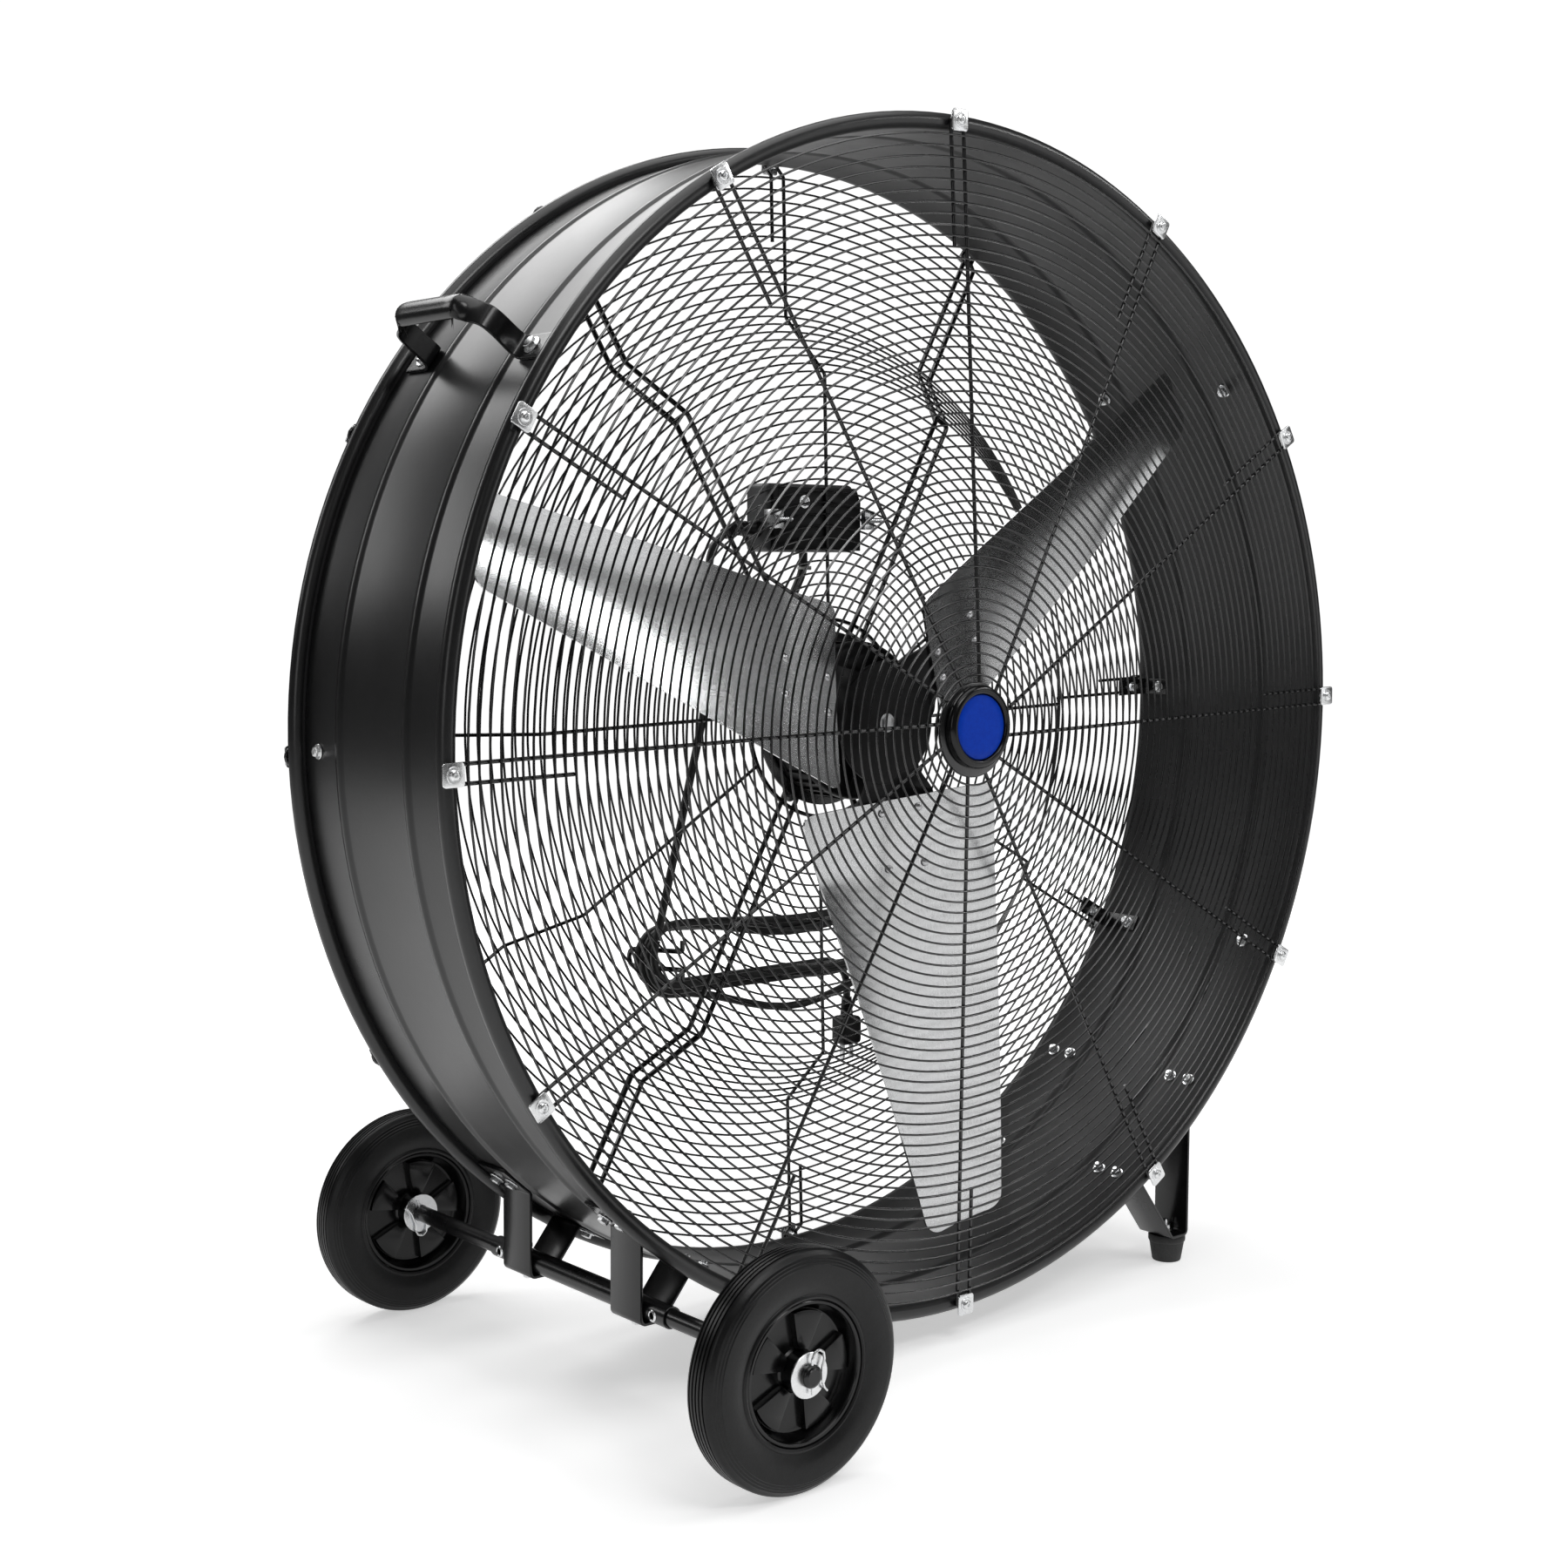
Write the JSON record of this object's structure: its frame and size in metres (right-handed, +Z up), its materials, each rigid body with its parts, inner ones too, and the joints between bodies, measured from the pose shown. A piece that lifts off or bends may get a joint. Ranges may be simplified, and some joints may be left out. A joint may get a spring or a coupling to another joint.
{
  "type": "drum fan",
  "caption": "Large drum fan with a steel drum, wire grilles, pressed blades and a rear control box, carried on a wheeled axle and rubber-footed legs.",
  "frame": {"origin": "on the floor, midway between the drum's rims and below its axis", "axes": "+Z up, -Y the way the air blows, +X to the right seen from the front"},
  "size_m": [1.144, 0.652, 1.171],
  "materials": {
    "black_paint": "gloss black powder coat",
    "black_wire": "gloss black coated wire",
    "brushed_aluminium": "brushed",
    "zinc_steel": "bright zinc plate",
    "bright_steel": "turned bar",
    "black_rubber": "matt moulded",
    "tyre_rubber": "matt with moulded tread",
    "black_plastic": "semi-gloss moulded",
    "blue_plastic": "smooth",
    "cord_jacket": "satin jacket"
  },
  "bodies": {
    "stand": {"drum_shell": "black_paint", "front_grille": "black_wire", "rear_grille": "black_wire", "grille_badge_ring": "black_plastic", "badge_disc": "blue_plastic", "motor_housing": "black_paint", "motor_mount_plate": "black_paint", "handle_left": "black_paint", "handle_right": "black_paint", "handle_lower": "black_paint", "leg_front": "black_paint", "leg_rear": "black_paint", "rubber_foot_front": "black_rubber", "rubber_foot_rear": "black_rubber", "wheel_bracket_front": "black_paint", "wheel_bracket_rear": "black_paint", "axle_tube": "black_paint", "axle": "black_paint", "washer_outer_front": "zinc_steel", "washer_inner_front": "zinc_steel", "washer_outer_rear": "zinc_steel", "washer_inner_rear": "zinc_steel", "cotter_pin_front": "zinc_steel", "cotter_pin_rear": "zinc_steel", "control_box": "black_plastic", "control_box_cover": "black_plastic", "cord_gland": "black_plastic", "motor_cable": "cord_jacket", "cord_hook_left": "black_wire", "cord_hook_right": "black_wire", "cord_lead": "cord_jacket", "cord_hank": "cord_jacket", "power_plug": "black_plastic", "front_clip_01": "zinc_steel", "front_clip_02": "zinc_steel", "front_clip_03": "zinc_steel", "front_clip_04": "zinc_steel", "front_clip_05": "zinc_steel", "front_clip_06": "zinc_steel", "front_clip_07": "zinc_steel", "front_clip_08": "zinc_steel", "front_clip_09": "zinc_steel", "front_clip_10": "zinc_steel", "front_clip_11": "zinc_steel", "front_clip_12": "zinc_steel", "motor_strut_1": "black_wire", "motor_strut_2": "black_wire", "motor_strut_3": "black_wire", "motor_strut_4": "black_wire"},
    "fan_rotor": {"motor_shaft": "bright_steel", "fan_spider": "black_paint", "blade_1": "brushed_aluminium", "blade_2": "brushed_aluminium", "blade_3": "brushed_aluminium"},
    "wheel_front": {"tyre_front": "tyre_rubber", "wheel_rim_front": "black_paint"},
    "wheel_rear": {"tyre_rear": "tyre_rubber", "wheel_rim_rear": "black_paint"},
    "speed_knob": {"speed_knob": "black_plastic"}
  },
  "joints": [
    {"name": "fan_spin", "type": "hinge", "parent": "stand", "child": "fan_rotor", "pos_m": [0, -0.03, 0.599], "axis": [0, 1, 0], "continuous": true},
    {"name": "wheel_front_spin", "type": "hinge", "parent": "stand", "child": "wheel_front", "pos_m": [-0.348, -0.3, 0.1016], "axis": [0, 1, 0], "continuous": true},
    {"name": "wheel_rear_spin", "type": "hinge", "parent": "stand", "child": "wheel_rear", "pos_m": [-0.348, 0.3, 0.1016], "axis": [0, 1, 0], "continuous": true},
    {"name": "speed_knob_turn", "type": "hinge", "parent": "stand", "child": "speed_knob", "pos_m": [-0.008, 0.12, 0.802], "axis": [0, 1, 0], "range_deg": [0, 135]}
  ]
}
